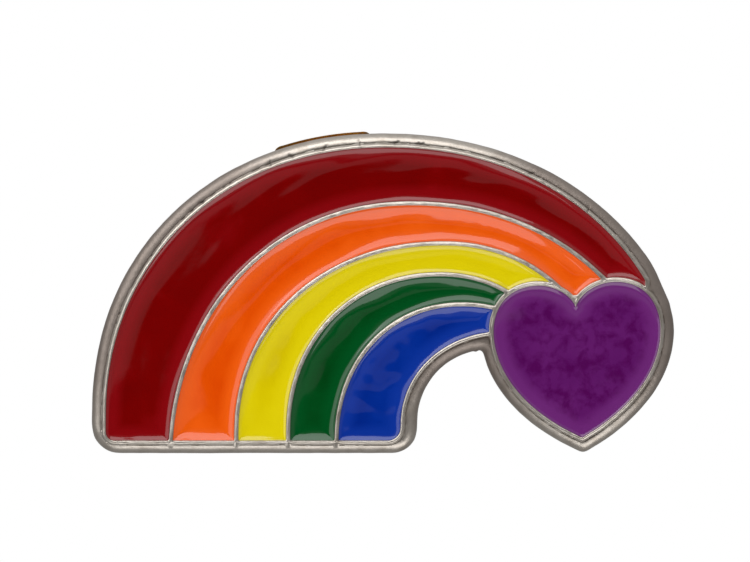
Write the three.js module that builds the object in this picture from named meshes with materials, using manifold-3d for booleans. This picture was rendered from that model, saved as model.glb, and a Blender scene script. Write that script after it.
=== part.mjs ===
// A soft-enamel lapel pin in millimetres: a rainbow arch whose right end carries a heart.
//
// The badge stands upright as it is worn: +X is to the right of someone looking at its face, +Z is
// up, and the face looks along -Y. Its flat back lies in the plane Y = 0. The post leaves the back
// along +Y, and the origin is where the post's axis meets the back. The post carries a brass
// butterfly clutch.

import * as THREE from "three";
import { mergeVertices } from "three/addons/utils/BufferGeometryUtils.js";
import Module from "manifold-3d";

const wasm = await Module();
wasm.setup();

const v2 = (x, y) => new THREE.Vector2(x, y);

// ---- Driving dimensions of the badge ---------------------------------------------------------

// Depths are measured from the back face towards the front.
const RIM_DEPTH = 1.9; // top of the raised metal lines
const BORDER_DEPTH = 1.5; // the lower border outside the rim
const CELL_FLOOR_DEPTH = 1.2; // bottom of the colour cells
const ENAMEL_DEPTH = 1.76; // surface of the enamel, a little below the metal lines
const SHOULDER_WIDTH = 0.4; // the rounded outer edge of the border, seen from the front
const SHOULDER_DROP = 0.55; // how far that edge falls towards the back
const SHOULDER_STEPS = 4;

const LINE_WIDTH = 0.26; // raised line between two colours
const RIM_WIDTH = 0.24; // raised line around the outside of the arch's colours
const HEART_LINE_WIDTH = 0.28; // raised line around the heart
const HEART_BORDER_WIDTH = 0.74; // heart's enamel to the silhouette
const HEART_BORDER_SHIFT = v2(0.05, -0.05); // the border sits low and to the right
const FIT_GAP = 0.03; // between two pieces that touch

// An arch line is a superellipse about its crown. Its left and right reach differ.
const ARCH_EXPONENT = 2.1;
const ARCH_STEPS = 22; // straight pieces per quarter of an arch line
const arch = (crownX, springZ, left, right, rise) => ({ crownX, springZ, left, right, rise });
const SILHOUETTE_TOP = arch(2.4, -9.1, 16.05, 17.1, 15.3);
const SILHOUETTE_UNDER = arch(8.5, -9.8, 4.25, 4.3, 4.15);
const CELLS_TOP = arch(2.55, -9.4, 15.4, 16.2, 14.8);
const RED_ORANGE = arch(3.95, -12.05, 13.3, 14.55, 14.4);
const ORANGE_YELLOW = arch(5.7, -10.35, 11.4, 9.55, 10.5);
const YELLOW_GREEN = arch(5.5, -10.2, 8.35, 7.6, 8.65);
const GREEN_BLUE = arch(6.7, -10.75, 6.9, 7.2, 7.55);
const CELLS_UNDER = arch(9.2, -9.95, 5.9, 8, 5.3);

const FOOT_Z = -11.4; // underside of the arch's legs
const CELL_FOOT_Z = -10.68; // lowest edge of the colour cells
const BORDER_END_Z = -1.2; // where the arch's border leaves its curve
const BORDER_JOIN = [v2(17.78, -2.4), v2(18.08, -3.05)]; // its run into the heart's border
const UNDER_END_Z = -5.6; // where the underside of the arch meets the heart
const LEFT_FOOT_RADIUS = 1.5;
const INNER_FOOT_RADIUS = 1.35;
const RED_CORNER_RADIUS = 0.45;
const BLUE_CORNER_RADIUS = 0.7;
const CORNER_STEPS = 5;

// The heart's enamel in its own axes: u to the right and v up, from the middle of its widest line.
const HEART_CENTRE = v2(13.02, -4.62);
const HEART_TILT = THREE.MathUtils.degToRad(2.8);
const HEART_HALF_WIDTH = 4.57;
const HEART_LOBE = v2(2.07, 2.53); // top of the right lobe
const HEART_NOTCH_V = 1.25;
const HEART_TIP_V = -5.9;
const HEART_STEPS = 9; // straight pieces per Bezier curve, of which each half has three

// ---- Driving dimensions of the fastening -----------------------------------------------------

const POST_RADIUS = 0.575;
const POST_LENGTH = 7.8;
const POST_POINT_LENGTH = 1.1;
const POST_TIP_RADIUS = 0.07;
const POST_GROOVE_RADIUS = 0.46;
const POST_GROOVE_FROM = 5.4;
const POST_GROOVE_LENGTH = 0.5;
const FLANGE_RADIUS = 1.3;
const FLANGE_HEIGHT = 0.3;
const SOLDER_RADIUS = 2.05;
const SOLDER_HEIGHT = 0.42;
const SOLDER_TOE = v2(0.08, 0.06); // the steep little step at its outer edge
const POST_SIDES = 40;

const CUP_SIDES = 56;
const CLUTCH_STANDOFF = 0.95; // back of the badge to the clutch's front, pushed fully home
const CUP_RADIUS = 5.7;
const CUP_HOLE_RADIUS = 0.72;
const CUP_EDGE_RADIUS = 0.5; // the turn from the cup's front up into its wall
const CUP_SHEET = 0.3;
const CUP_ROLL_HEIGHT = 0.06; // the rolled lip's underside above the plate
const CUP_LIP_OVERLAP = 0.4; // how far the lip reaches in over the plate
const PLATE_RADIUS = 5.1;
const PLATE_FROM = 0.77; // plate's underside above the clutch's front
const PLATE_THICKNESS = 0.33;
const WINDOW_HALF_X = 2.05;
const WINDOW_HALF_Z = 2.95;
const CLUTCH_TURN = THREE.MathUtils.degToRad(100); // the wings' line, from +X towards +Z

const WING_SHEET = 0.34;
const WING_WIDTH = 5.6;
const WING_REACH = 6.3; // post's axis to the wing's outer end
const WING_CORNER_RADIUS = 0.6;
const WING_END_BULGE = 0.14; // how far the outer edge bows past its corners
const JAW_NOTCH_RADIUS = 0.66; // the round notch that lets the post pass
const JAW_WIDTH = 3.4;
const JAW_TO = 1.3; // where the narrow jaw begins to widen
const STRIP_FROM = 1.9; // where the full strip begins

// ---- Shapes ----------------------------------------------------------------------------------

// A closed geometry as a manifold solid, for cutting and joining.
function solidOf(geometry) {
  const bare = geometry.index ? geometry.toNonIndexed() : geometry.clone();
  bare.deleteAttribute("normal");
  bare.deleteAttribute("uv");
  const merged = mergeVertices(bare, 1e-4);
  return new wasm.Manifold(
    new wasm.Mesh({
      numProp: 3,
      vertProperties: new Float32Array(merged.attributes.position.array),
      triVerts: new Uint32Array(merged.index.array),
    }),
  );
}

function geometryOf(solid) {
  const { vertProperties, triVerts } = solid.getMesh();
  const geometry = new THREE.BufferGeometry();
  geometry.setAttribute("position", new THREE.BufferAttribute(vertProperties, 3));
  geometry.setIndex(new THREE.BufferAttribute(triVerts, 1));
  geometry.computeVertexNormals();
  return geometry;
}

// A prism of a front-view outline, from one depth to another, both measured from the back face.
function prism(points, fromDepth, toDepth) {
  const shape = new THREE.Shape(points);
  const geometry = new THREE.ExtrudeGeometry(shape, {
    depth: toDepth - fromDepth,
    bevelEnabled: false,
  });
  geometry.translate(0, 0, fromDepth);
  geometry.rotateX(Math.PI / 2);
  return geometry;
}

// The same, with a rounded shoulder that grows outwards from the outline as it falls.
function shouldered(points, toDepth) {
  const geometry = new THREE.ExtrudeGeometry(new THREE.Shape(points), {
    depth: toDepth,
    bevelSize: SHOULDER_WIDTH,
    bevelThickness: SHOULDER_DROP,
    bevelSegments: SHOULDER_STEPS,
  });
  geometry.translate(0, 0, -SHOULDER_DROP);
  geometry.rotateX(Math.PI / 2);
  return geometry;
}

function distanceToOutline(point, outline) {
  const nearest = new THREE.Vector3();
  const flat = (p) => new THREE.Vector3(p.x, p.y, 0);
  const distances = outline.map((from, i) => {
    const side = new THREE.Line3(flat(from), flat(outline[(i + 1) % outline.length]));
    return side.closestPointToPoint(flat(point), true, nearest).distanceTo(flat(point));
  });
  return Math.min(...distances);
}

// Moves a closed outline outwards by a distance, or inwards by a negative one. Where its sides
// would cross, as in a heart's notch, the points that come too close to the outline are dropped.
function offsetOutline(points, distance) {
  if (distance === 0) return points;
  const turn = Math.sign(THREE.ShapeUtils.area(points));
  const sharpest = 1.35; // limit on how far a pointed corner moves, as a share of the distance
  const moved = points.map((point, i) => {
    const before = points[(i + points.length - 1) % points.length];
    const after = points[(i + 1) % points.length];
    const arriving = point.clone().sub(before).normalize();
    const leaving = after.clone().sub(point).normalize();
    const outward = v2(arriving.y + leaving.y, -arriving.x - leaving.x).normalize();
    const squareness = outward.dot(v2(leaving.y, -leaving.x));
    const reach = Math.min(1 / Math.max(squareness, 0.01), sharpest);
    return point.clone().addScaledVector(outward, turn * distance * reach);
  });
  const tolerance = 1e-3;
  return moved.filter((p) => distanceToOutline(p, points) > Math.abs(distance) - tolerance);
}

// ---- Arch and heart outlines -----------------------------------------------------------------

const wider = (line, by) =>
  arch(line.crownX, line.springZ, line.left + by, line.right + by, line.rise + by);

// The superellipse's own parameter where the line's left side reaches height z: 0 at its springing
// and a quarter turn at its crown.
const angleAt = (line, z) => {
  const share = THREE.MathUtils.clamp((z - line.springZ) / line.rise, 0, 1);
  return Math.asin(share ** (ARCH_EXPONENT / 2));
};

// Points of an arch line from its left foot, over the crown, to endZ on the right.
function archPoints(line, footZ, endZ) {
  const power = 2 / ARCH_EXPONENT;
  const start = angleAt(line, footZ);
  const end = Math.PI - angleAt(line, endZ);
  const steps = Math.round((ARCH_STEPS * (end - start)) / (Math.PI / 2));
  const points = [];
  for (let i = 0; i <= steps; i++) {
    const angle = start + ((end - start) * i) / steps;
    const reach = angle < Math.PI / 2 ? -line.left : line.right;
    const x = line.crownX + reach * Math.abs(Math.cos(angle)) ** power;
    points.push(v2(x, line.springZ + line.rise * Math.sin(angle) ** power));
  }
  return points;
}

// A rounded corner at the foot of a leg. side is -1 where the leg lies to the corner's right.
function footCorner(x, z, radius, side) {
  const corner = [];
  for (let i = 0; i <= CORNER_STEPS; i++) {
    const angle = (Math.PI / 2) * (i / CORNER_STEPS);
    corner.push(v2(x - side * radius * (1 - Math.sin(angle)), z + radius * (1 - Math.cos(angle))));
  }
  return side < 0 ? corner : corner.reverse();
}

// The outline between two arch lines, both running on into the heart, with rounded or square feet.
function archOutline({ top, under, footZ, ends, via = [], leftRadius = 0, rightRadius = 0 }) {
  const topFootX = top.crownX - top.left;
  const underFootX = under.crownX - under.left;
  const outer = archPoints(top, footZ + leftRadius, ends[0]);
  const inner = archPoints(under, footZ + rightRadius, ends[1]).reverse();
  const leftFoot = leftRadius
    ? footCorner(topFootX, footZ, leftRadius, -1)
    : footZ < top.springZ
      ? [v2(topFootX, footZ)]
      : [];
  const rightFoot = rightRadius
    ? footCorner(underFootX, footZ, rightRadius, 1)
    : footZ < under.springZ
      ? [v2(underFootX, footZ)]
      : [];
  return [...leftFoot, ...outer, ...via, ...inner, ...rightFoot];
}

// One half of the heart: from the notch over the lobe and round the side to the tip.
function heartHalf() {
  const notch = v2(0, HEART_NOTCH_V);
  const side = v2(HEART_HALF_WIDTH, 0);
  const tip = v2(0, HEART_TIP_V);
  const curves = [
    [notch, v2(0.33, 2.1), v2(1.35, HEART_LOBE.y), HEART_LOBE],
    [HEART_LOBE, v2(3.9, HEART_LOBE.y), v2(HEART_HALF_WIDTH, 1.2), side],
    [side, v2(HEART_HALF_WIDTH, -2.2), v2(3, -4.35), tip],
  ];
  const points = [notch];
  for (const [from, leaving, arriving, to] of curves) {
    const curve = new THREE.CubicBezierCurve(from, leaving, arriving, to);
    points.push(...curve.getPoints(HEART_STEPS).slice(1));
  }
  return points;
}

function heartOutline() {
  const right = heartHalf();
  const left = right.slice(1, -1).map((p) => v2(-p.x, p.y));
  const whole = [...right, ...left.reverse()];
  return whole.map((p) => p.clone().rotateAround(v2(0, 0), HEART_TILT).add(HEART_CENTRE));
}

const HEART = heartOutline();

// ---- Badge body ------------------------------------------------------------------------------

// Each colour cell lies between two lines, which run on under the heart to the heights given. The
// cell itself ends on the line around the heart.
const CELLS = {
  enamel_red: { top: CELLS_TOP, under: wider(RED_ORANGE, LINE_WIDTH / 2), ends: [-1.9, -4.6] },
  enamel_orange: {
    top: wider(RED_ORANGE, -LINE_WIDTH / 2),
    under: wider(ORANGE_YELLOW, LINE_WIDTH / 2),
    ends: [-4.6, -4.6],
  },
  enamel_yellow: {
    top: wider(ORANGE_YELLOW, -LINE_WIDTH / 2),
    under: wider(YELLOW_GREEN, LINE_WIDTH / 2),
    ends: [-4.4, -4],
  },
  enamel_green: {
    top: wider(YELLOW_GREEN, -LINE_WIDTH / 2),
    under: wider(GREEN_BLUE, LINE_WIDTH / 2),
    ends: [-3.6, -4.2],
  },
  enamel_blue: {
    top: wider(GREEN_BLUE, -LINE_WIDTH / 2),
    under: CELLS_UNDER,
    ends: [-4.2, -4.7],
  },
};

// A colour cell as a solid, drawn in by a gap all round, with the heart's place cut away.
function cellSolid(name, fromDepth, toDepth, gap) {
  const { top, under, ends } = CELLS[name];
  const outline = archOutline({
    top: wider(top, -gap),
    under: wider(under, gap),
    footZ: CELL_FOOT_Z + gap,
    ends,
    leftRadius: name === "enamel_red" ? RED_CORNER_RADIUS : 0,
    rightRadius: name === "enamel_blue" ? BLUE_CORNER_RADIUS : 0,
  });
  const heart = offsetOutline(HEART, HEART_LINE_WIDTH + gap);
  const clear = 1; // the cutter runs this far past the cell on both sides
  return solidOf(prism(outline, fromDepth, toDepth)).subtract(
    solidOf(prism(heart, fromDepth - clear, toDepth + clear)),
  );
}

const heartSolid = (fromDepth, toDepth, gap) =>
  solidOf(prism(offsetOutline(HEART, -gap), fromDepth, toDepth));

function pinBody() {
  const archBorder = archOutline({
    top: wider(SILHOUETTE_TOP, -SHOULDER_WIDTH),
    under: wider(SILHOUETTE_UNDER, SHOULDER_WIDTH),
    footZ: FOOT_Z + SHOULDER_WIDTH,
    ends: [BORDER_END_Z, UNDER_END_Z],
    via: BORDER_JOIN.map((p) => p.clone().sub(v2(SHOULDER_WIDTH, 0))),
    leftRadius: LEFT_FOOT_RADIUS - SHOULDER_WIDTH,
    rightRadius: INNER_FOOT_RADIUS - SHOULDER_WIDTH,
  });
  const heartBorder = offsetOutline(HEART, HEART_BORDER_WIDTH - SHOULDER_WIDTH).map((p) =>
    p.add(HEART_BORDER_SHIFT),
  );
  const archRim = archOutline({
    top: wider(CELLS_TOP, RIM_WIDTH),
    under: wider(CELLS_UNDER, -RIM_WIDTH),
    footZ: CELL_FOOT_Z - RIM_WIDTH,
    ends: [CELLS.enamel_red.ends[0], UNDER_END_Z],
    leftRadius: RED_CORNER_RADIUS + RIM_WIDTH,
    rightRadius: BLUE_CORNER_RADIUS + RIM_WIDTH,
  });
  const heartRim = offsetOutline(HEART, HEART_LINE_WIDTH);
  let body = solidOf(shouldered(archBorder, BORDER_DEPTH))
    .add(solidOf(shouldered(heartBorder, BORDER_DEPTH)))
    .add(solidOf(prism(archRim, CELL_FLOOR_DEPTH, RIM_DEPTH)))
    .add(solidOf(prism(heartRim, CELL_FLOOR_DEPTH, RIM_DEPTH)));
  const open = RIM_DEPTH + 1; // cutters run out through the front
  for (const name of Object.keys(CELLS)) {
    body = body.subtract(cellSolid(name, CELL_FLOOR_DEPTH, open, 0));
  }
  body = body.subtract(heartSolid(CELL_FLOOR_DEPTH, open, 0));
  const behind = new THREE.BoxGeometry(60, 4, 60).translate(0, 2, 0);
  return body.subtract(solidOf(behind)); // leaves the back flat
}

// ---- Post and solder -------------------------------------------------------------------------

// A profile of radius and y, turned about the y axis.
const turned = (profile, sides) =>
  new THREE.LatheGeometry(
    profile.map(([radius, y]) => v2(radius, y)),
    sides,
  );

function postGeometry() {
  const foot = FIT_GAP;
  const flangeTop = foot + FLANGE_HEIGHT;
  const grooveTo = POST_GROOVE_FROM + POST_GROOVE_LENGTH;
  const lip = 0.12; // length of each sloping side of the groove
  const profile = [
    [0, foot],
    [FLANGE_RADIUS, foot],
    [FLANGE_RADIUS, flangeTop],
    [POST_RADIUS, flangeTop],
    [POST_RADIUS, POST_GROOVE_FROM],
    [POST_GROOVE_RADIUS, POST_GROOVE_FROM + lip],
    [POST_GROOVE_RADIUS, grooveTo - lip],
    [POST_RADIUS, grooveTo],
    [POST_RADIUS, POST_LENGTH - POST_POINT_LENGTH],
    [POST_TIP_RADIUS, POST_LENGTH - POST_TIP_RADIUS],
    [0, POST_LENGTH],
  ];
  return turned(profile, POST_SIDES);
}

// The solder stands against the flange's edge and runs out onto the badge's back.
function solderGeometry() {
  const inner = FLANGE_RADIUS + FIT_GAP;
  const waist = (inner + SOLDER_RADIUS) / 2;
  const profile = [
    [inner, FIT_GAP],
    [SOLDER_RADIUS, FIT_GAP],
    [SOLDER_RADIUS - SOLDER_TOE.x, FIT_GAP + SOLDER_TOE.y],
    [waist, 0.42 * SOLDER_HEIGHT],
    [(inner + waist) / 2, 0.75 * SOLDER_HEIGHT],
    [inner, SOLDER_HEIGHT],
    [inner, FIT_GAP],
  ];
  return turned(profile, POST_SIDES);
}

// ---- Butterfly clutch, in its own frame: y from its front face, x along the wings --------------

// A shallow dish whose wall is rolled in over the plate.
function cupGeometry() {
  const lipY = PLATE_FROM + PLATE_THICKNESS + CUP_ROLL_HEIGHT;
  const lipRadius = PLATE_RADIUS - CUP_LIP_OVERLAP;
  const wall = CUP_RADIUS - CUP_SHEET;
  const outside = [
    [CUP_HOLE_RADIUS, 0],
    [wall - CUP_EDGE_RADIUS, 0],
    [wall, 0.12],
    [CUP_RADIUS - 0.04, CUP_EDGE_RADIUS],
    [CUP_RADIUS, 0.8],
    [CUP_RADIUS - 0.06, lipY],
    [CUP_RADIUS - 0.3, lipY + 0.24],
    [CUP_RADIUS - 0.65, lipY + CUP_SHEET],
  ];
  const inside = [
    [lipRadius, lipY + 0.26],
    [lipRadius, lipY],
    [wall - 0.25, lipY + 0.02],
    [wall - 0.02, lipY - 0.14],
    [wall, 0.8],
    [wall - 0.12, CUP_EDGE_RADIUS],
    [wall - CUP_EDGE_RADIUS, CUP_SHEET],
    [CUP_HOLE_RADIUS, CUP_SHEET],
  ];
  return turned([...outside, ...inside, outside[0]], CUP_SIDES);
}

// A round plate held under the rolled wall, with a window for the wings.
function plateGeometry() {
  const disc = new THREE.CylinderGeometry(PLATE_RADIUS, PLATE_RADIUS, PLATE_THICKNESS, 48);
  const window = new THREE.BoxGeometry(2 * WINDOW_HALF_X, 2, 2 * WINDOW_HALF_Z);
  const plate = geometryOf(solidOf(disc).subtract(solidOf(window)));
  return plate.translate(0, PLATE_FROM + PLATE_THICKNESS / 2, 0);
}

// A strip of sheet metal seen edge on: its middle line, thickened to both sides.
function stripOutline(points, thickness) {
  const sides = [[], []];
  points.forEach((point, i) => {
    const before = points[Math.max(i - 1, 0)];
    const after = points[Math.min(i + 1, points.length - 1)];
    const along = after.clone().sub(before).normalize();
    const normal = v2(-along.y, along.x).multiplyScalar(thickness / 2);
    sides[0].push(point.clone().add(normal));
    sides[1].push(point.clone().sub(normal));
  });
  return [...sides[0], ...sides[1].reverse()];
}

// The wing's middle line, outwards from the jaw: up past the bend, then out to a curled end.
const WING_LINE = new THREE.SplineCurve([
  v2(0.86, 0.72),
  v2(1.05, 1.25),
  v2(1.5, 1.85),
  v2(3, 3.35),
  v2(4.5, 4.8),
  v2(5.35, 5.2),
  v2(WING_REACH + 0.2, 5), // past the end, which the plan cuts off
]);

// The wing in plan: a notched jaw that widens to the full strip and ends in a rounded edge.
function wingPlan() {
  const half = WING_WIDTH / 2;
  const jaw = JAW_WIDTH / 2;
  const corner = WING_REACH - WING_END_BULGE;
  const inmost = 0.3; // behind the jaw's edge, so that the bent strip alone sets where it ends
  const shape = new THREE.Shape();
  shape.moveTo(inmost, -jaw);
  shape.lineTo(JAW_TO, -jaw);
  shape.lineTo(STRIP_FROM, -half);
  shape.lineTo(corner - WING_CORNER_RADIUS, -half);
  shape.quadraticCurveTo(corner, -half, corner, -half + WING_CORNER_RADIUS);
  shape.quadraticCurveTo(WING_REACH + WING_END_BULGE, 0, corner, half - WING_CORNER_RADIUS);
  shape.quadraticCurveTo(corner, half, corner - WING_CORNER_RADIUS, half);
  shape.lineTo(STRIP_FROM, half);
  shape.lineTo(JAW_TO, jaw);
  shape.lineTo(inmost, jaw);
  shape.lineTo(inmost, JAW_NOTCH_RADIUS);
  shape.absarc(inmost, 0, JAW_NOTCH_RADIUS, Math.PI / 2, -Math.PI / 2, true);
  return shape;
}

// A wing that reaches along +x, as the bent strip within its plan.
function wingGeometry() {
  const bent = new THREE.ExtrudeGeometry(
    new THREE.Shape(stripOutline(WING_LINE.getPoints(20), WING_SHEET)),
    { depth: WING_WIDTH + 1, bevelEnabled: false },
  );
  bent.translate(0, 0, -(WING_WIDTH + 1) / 2);
  const plan = new THREE.ExtrudeGeometry(wingPlan(), {
    depth: 8,
    bevelEnabled: false,
    curveSegments: 10,
  });
  plan.rotateX(Math.PI / 2);
  plan.translate(0, 7, 0);
  return geometryOf(solidOf(bent).intersect(solidOf(plan)));
}

// ---- Assembly --------------------------------------------------------------------------------

const finish = (color, roughness, metalness) =>
  new THREE.MeshStandardMaterial({ color, roughness, metalness });

function named(name, geometry, material) {
  const mesh = new THREE.Mesh(geometry, material);
  mesh.name = name;
  return mesh;
}

const nickel = () => finish("#b9b4aa", 0.28, 1);
const brass = () => finish("#c39a4a", 0.3, 1);
const enamel = (color) => finish(color, 0.12, 0);

const badge = new THREE.Group();
badge.add(named("pin_body", geometryOf(pinBody()), nickel()));

const ENAMEL_COLOURS = {
  enamel_red: "#7d0508",
  enamel_orange: "#e85a12",
  enamel_yellow: "#ddc905",
  enamel_green: "#04502a",
  enamel_blue: "#122f96",
};
for (const [name, color] of Object.entries(ENAMEL_COLOURS)) {
  const fill = cellSolid(name, CELL_FLOOR_DEPTH + FIT_GAP, ENAMEL_DEPTH, FIT_GAP);
  badge.add(named(name, geometryOf(fill), enamel(color)));
}
const heartFill = heartSolid(CELL_FLOOR_DEPTH + FIT_GAP, ENAMEL_DEPTH, FIT_GAP);
badge.add(named("enamel_heart", geometryOf(heartFill), enamel("#5a1260")));
badge.add(named("post", postGeometry(), finish("#b5b0a6", 0.3, 1)));
badge.add(named("solder_fillet", solderGeometry(), finish("#9a9892", 0.5, 1)));

const clutch = new THREE.Group();
clutch.position.y = CLUTCH_STANDOFF;
clutch.rotation.y = -CLUTCH_TURN;
clutch.add(named("clutch_cup", cupGeometry(), brass()));
clutch.add(named("clutch_plate", plateGeometry(), brass()));
const upperWing = named("wing_upper", wingGeometry(), brass());
const lowerWing = named("wing_lower", wingGeometry(), brass());
lowerWing.rotation.y = Math.PI;
clutch.add(upperWing, lowerWing);

const pin = new THREE.Group();
pin.add(badge, clutch);

export default pin;
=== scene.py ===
"""Looks of the enamel lapel pin: a cast nickel badge with soft enamel, and its brass clutch.

The badge's metal and its six enamel fills are built from the outlines of the CAD nodes, so each
colour stays exactly in its cell. Lengths in this file are in millimetres unless a name ends in _M,
and depth is measured from the badge's flat back towards its front, which is -Y.
"""

import math

import bmesh
import bpy
import numpy as np
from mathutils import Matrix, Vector, kdtree, noise
from mathutils.geometry import delaunay_2d_cdt


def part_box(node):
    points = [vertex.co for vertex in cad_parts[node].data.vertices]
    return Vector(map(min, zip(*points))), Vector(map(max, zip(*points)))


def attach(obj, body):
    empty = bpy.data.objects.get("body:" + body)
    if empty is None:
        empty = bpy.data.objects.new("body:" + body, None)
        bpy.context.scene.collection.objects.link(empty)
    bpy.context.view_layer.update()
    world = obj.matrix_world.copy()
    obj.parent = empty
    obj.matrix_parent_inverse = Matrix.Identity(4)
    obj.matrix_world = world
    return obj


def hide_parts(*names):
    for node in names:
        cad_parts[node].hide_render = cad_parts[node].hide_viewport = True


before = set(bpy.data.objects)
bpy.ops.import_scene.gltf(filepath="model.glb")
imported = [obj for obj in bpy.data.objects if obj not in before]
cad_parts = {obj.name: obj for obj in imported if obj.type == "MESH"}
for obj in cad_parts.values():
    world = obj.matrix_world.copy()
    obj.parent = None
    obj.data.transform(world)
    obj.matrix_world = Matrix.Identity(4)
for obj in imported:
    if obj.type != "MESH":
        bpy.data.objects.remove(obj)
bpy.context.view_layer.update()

M_PER_MM = 0.001

# ---- The badge's cross-section ---------------------------------------------------------------

RIM_DEPTH = 1.9
BORDER_DEPTH = 1.5
SHOULDER_FOOT_DEPTH = 0.95
CELL_FLOOR_DEPTH = 1.2
RIM_WIDTH = 0.23
RIM_INNER_ROUND = 0.08
RIM_OUTER_ROUND = 0.13
RIM_LEAN = 0.34  # slope of a rim's top, falling outwards from the middle of the arch
GROOVE_WIDTH = 0.07
GROOVE_FALL = 0.05
SHOULDER_WIDTH = 0.56
CORNER_EASE = 0.2  # how far the silhouette's corners are rounded off
BACK_INSET = 0.11  # from the silhouette to the edge of the flat back
BACK_HOLLOW = 0.006  # depth of the back's unevenness, which goes inwards only
# Inset and depth of each ring down the side wall, between the shoulder and the back.
WALL = ((0, 0.7), (-0.006, 0.45), (0, 0.2), (0.012, 0.09), (0.05, 0.02))

ARCH_CENTRE = np.array([6.0, -10.6])

# ---- Unevenness of the casting ---------------------------------------------------------------

# Layers of noise, each with its height, the size of its features and its seed.
LINE_NOISE = ((0.014, 1.1, 1),)
LINE_NOISE_FROM = 0.1  # nearer to its cell than this, a rim keeps to the cell's line
WIDTH_NOISE = ((0.02, 2.3, 2), (0.02, 0.4, 12))
TOP_NOISE = ((0.012, 0.32, 3), (0.012, 1.9, 4))
BORDER_NOISE = ((0.018, 1.4, 5), (0.008, 0.4, 6))
SHOULDER_NOISE = ((0.16, 2.8, 7),)  # heights here are shares of the shoulder's width
EDGE_NOISE = ((0.014, 1.7, 8), (0.008, 0.45, 9))
BACK_NOISE_SIZE = 2.1
BACK_NOISE_SEED = 11
SEED_STEP = 17.3  # far enough apart in the noise for two seeds to look unrelated

# Small lumps on the silhouette, as x, z, height and width.
BURRS = ((7.5, -5.85, 0.16, 0.1), (5.6, -7.1, 0.06, 0.16), (16.4, -7.6, 0.05, 0.2))

NICK_DEPTH = 0.035
NICK_SHIFT = 0.28  # from the edge of the red cell to the middle of a nick
# Bearing from the middle of the red band and lean, in degrees, then width and reach.
NICKS = (
    (128, -30, 0.09, 0.24),
    (121, 40, 0.1, 0.2),
    (108, -55, 0.09, 0.26),
    (95, 10, 0.07, 0.34),
    (83, -60, 0.09, 0.24),
    (74, -75, 0.08, 0.3),
    (152, 50, 0.09, 0.2),
    (38, -40, 0.08, 0.24),
    (22, 55, 0.08, 0.24),
)

# The border is dull and carries painted shade, except over the crown of the arch and along the
# arch's foot, where it is left bright.
CROWN_MIDDLE_X = 2.6
CROWN_REACH = 4.5
CROWN_SHADE_AND_DULLNESS = 0.1
CROWN_FLOOR_Z = 1  # above this a point belongs to the crown
FOOT_TOP_Z = -11
FOOT_SHADE_AND_DULLNESS = 0.15
SHADING_AND_DULLING = 4  # over how much length the border turns from bright to dull and painted darker

# ---- The enamel's surface --------------------------------------------------------------------

ENAMEL_EDGE_DEPTH = 1.82
ENAMEL_TUCK = 0.02  # how far a fill reaches under the metal round it
ENAMEL_CLEARANCE = 0.03  # between a fill and the floor of its cell
CLIMB = 0.09  # the enamel's climb up the metal
CLIMB_REACH = 0.12
CLIMB_REACH_GAIN = 0.16  # added to the reach along the arch's foot
FOOT_REACH = 0.3  # how far up from the foot that gain reaches
CALM_REACH = 0.35  # how far in from the edge the waves take to build up
WIDE_MARGIN = 1.4  # half the width of a band whose waves are at their strongest
HEART_DISH_REACH = 1.6
MARGIN_LIMIT = 2  # distances from the edge are stored up to this

# Per layer of waves along the arch: how quickly it changes with the bearing, its width across
# the bands, its height, and what is added to the fill's seed.
ARCH_WAVES = ((2.4, 0.8, 0.016, 0), (4.5, 1.7, 0.034, 3), (7, 0.45, 0.0025, 5))
# Per layer of swells in the heart: size, height, and what is added to the fill's seed.
HEART_WAVES = ((2.4, 0.03, 0), (0.9, 0.004, 5))

# ---- How finely the shapes are cut -----------------------------------------------------------

SPACING = 0.085  # between points along an outline
SAME_LEVEL = 2e-3
SHORTEST_SIDE = 0.04
CORNER_DEG = 27  # a CAD outline that turns further than this at a point has a true corner there
STRAIGHT_RATIO = 2.5  # a side this much longer than its neighbour is straight
RING_TOLERANCE = 0.004
TRIANGLES_INSIDE = 1  # delaunay_2d_cdt's code for its kind of output
MERGE_DISTANCE = 1e-7
# Signed distances outwards from an outline at which rings of points follow it.
CELL_RINGS = (0.018, 0.04, 0.07, 0.105, 0.14, 0.165, 0.19, 0.212, 0.235, 0.265, 0.3, 0.34)
EDGE_RINGS = (-0.012, -0.035, -0.07, -0.12, -0.18, -0.25, -0.33, -0.42, -0.52)
FILL_RINGS = (-0.012, -0.03, -0.055, -0.085, -0.12, -0.16, -0.21, -0.27, -0.34, -0.43, -0.54)
EDGE_CLEARANCE = 0.05  # between the cells' rings and the silhouette
CELL_CLEARANCE = 0.37  # between the silhouette's rings and the cells
# Pitch of the points inside a flat, and their distance from its edge.
FILL_GRID = (0.2, 0.6)
BACK_GRID = (0.45, 0.3)


# ---- Outlines, read from the CAD nodes -------------------------------------------------------


def flat_loops(node, depth):
    """Closed loops of (x, z) round a node's flat faces at a depth, each anticlockwise."""
    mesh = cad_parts[node].data
    where = [v.co / M_PER_MM for v in mesh.vertices]
    key = [(round(p.x, 3), round(p.z, 3)) for p in where]
    level = [abs(p.y + depth) < SAME_LEVEL for p in where]
    sides = set()
    for face in mesh.polygons:
        if all(level[i] for i in face.vertices):
            ring = [key[i] for i in face.vertices]
            sides.update(zip(ring, ring[1:] + ring[:1]))
    following = {a: b for a, b in sides if (b, a) not in sides and a != b}
    loops = []
    while following:
        start, point = following.popitem()
        loop = [start]
        while point != start:
            loop.append(point)
            point = following.pop(point)
        loop = np.array(loop)
        if area_of(loop) < 0:
            loop = loop[::-1]
        loops.append(loop)
    return loops


def area_of(loop):
    """Area inside a loop, negative if it runs clockwise."""
    after = np.roll(loop, -1, axis=0)
    return 0.5 * float(np.sum(loop[:, 0] * after[:, 1] - after[:, 0] * loop[:, 1]))


def turn_between(a, b):
    """Angle in radians between two directions."""
    return abs(math.atan2(a[0] * b[1] - a[1] * b[0], float(np.dot(a, b))))


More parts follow.
